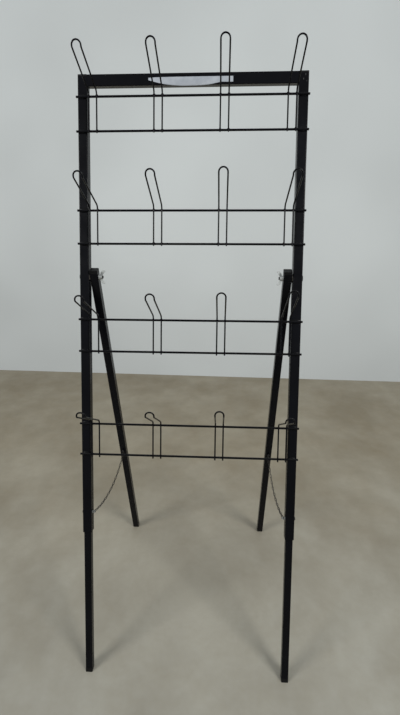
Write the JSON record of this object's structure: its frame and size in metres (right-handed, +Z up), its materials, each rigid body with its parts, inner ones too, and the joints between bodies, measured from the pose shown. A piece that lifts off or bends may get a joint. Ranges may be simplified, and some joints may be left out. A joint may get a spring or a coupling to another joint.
{
  "type": "folding wire display stand",
  "caption": "Black steel A-frame display stand with rows of hairpin wire hooks, folding rear legs and spread chains.",
  "frame": {"origin": "on the floor, midway between the front feet and the rear feet, on the stand's middle line", "axes": "+X to the stand's right as seen from the front, +Y to the back, +Z up"},
  "size_m": [0.6064, 0.605, 1.6618],
  "materials": {
    "black_paint": "satin",
    "black_plastic": "satin",
    "black_screws": "satin",
    "zinc": "satin",
    "label": "matte"
  },
  "bodies": {
    "front_frame": {"left_upright": "black_paint", "left_upright_cap": "black_plastic", "left_lower_leg": "black_paint", "left_front_foot": "black_plastic", "left_spread_chain": "zinc", "right_upright": "black_paint", "right_upright_cap": "black_plastic", "right_lower_leg": "black_paint", "right_front_foot": "black_plastic", "right_spread_chain": "zinc", "hinge_bolts": "black_screws", "hinge_washers": "zinc", "wing_nuts": "zinc", "leg_screws": "black_screws", "leg_screw_nuts": "zinc", "top_bar": "black_paint", "paper_label": "label", "row1_upper_wire": "black_paint", "row1_lower_wire": "black_paint", "row1_hook1": "black_paint", "row1_hook2": "black_paint", "row1_hook3": "black_paint", "row1_hook4": "black_paint", "row2_upper_wire": "black_paint", "row2_lower_wire": "black_paint", "row2_hook1": "black_paint", "row2_hook2": "black_paint", "row2_hook3": "black_paint", "row2_hook4": "black_paint", "row3_upper_wire": "black_paint", "row3_lower_wire": "black_paint", "row3_hook1": "black_paint", "row3_hook2": "black_paint", "row3_hook3": "black_paint", "row3_hook4": "black_paint", "row4_upper_wire": "black_paint", "row4_lower_wire": "black_paint", "row4_hook1": "black_paint", "row4_hook2": "black_paint", "row4_hook3": "black_paint", "row4_hook4": "black_paint"},
    "left_rear": {"left_rear_leg": "black_paint", "left_rear_leg_cap": "black_plastic", "left_rear_foot": "black_plastic", "left_chain_anchor": "black_screws"},
    "right_rear": {"right_rear_leg": "black_paint", "right_rear_leg_cap": "black_plastic", "right_rear_foot": "black_plastic", "right_chain_anchor": "black_screws"}
  },
  "joints": [
    {"name": "left_leg_fold", "type": "hinge", "parent": "front_frame", "child": "left_rear", "pos_m": [-0.2615, 0.03573, 1.10676], "axis": [1, 0, 0], "range_deg": [-28, 0], "deforming": ["left_spread_chain"]},
    {"name": "right_leg_fold", "type": "hinge", "parent": "front_frame", "child": "right_rear", "pos_m": [0.2615, 0.03573, 1.10676], "axis": [1, 0, 0], "range_deg": [-28, 0], "deforming": ["right_spread_chain"]}
  ]
}
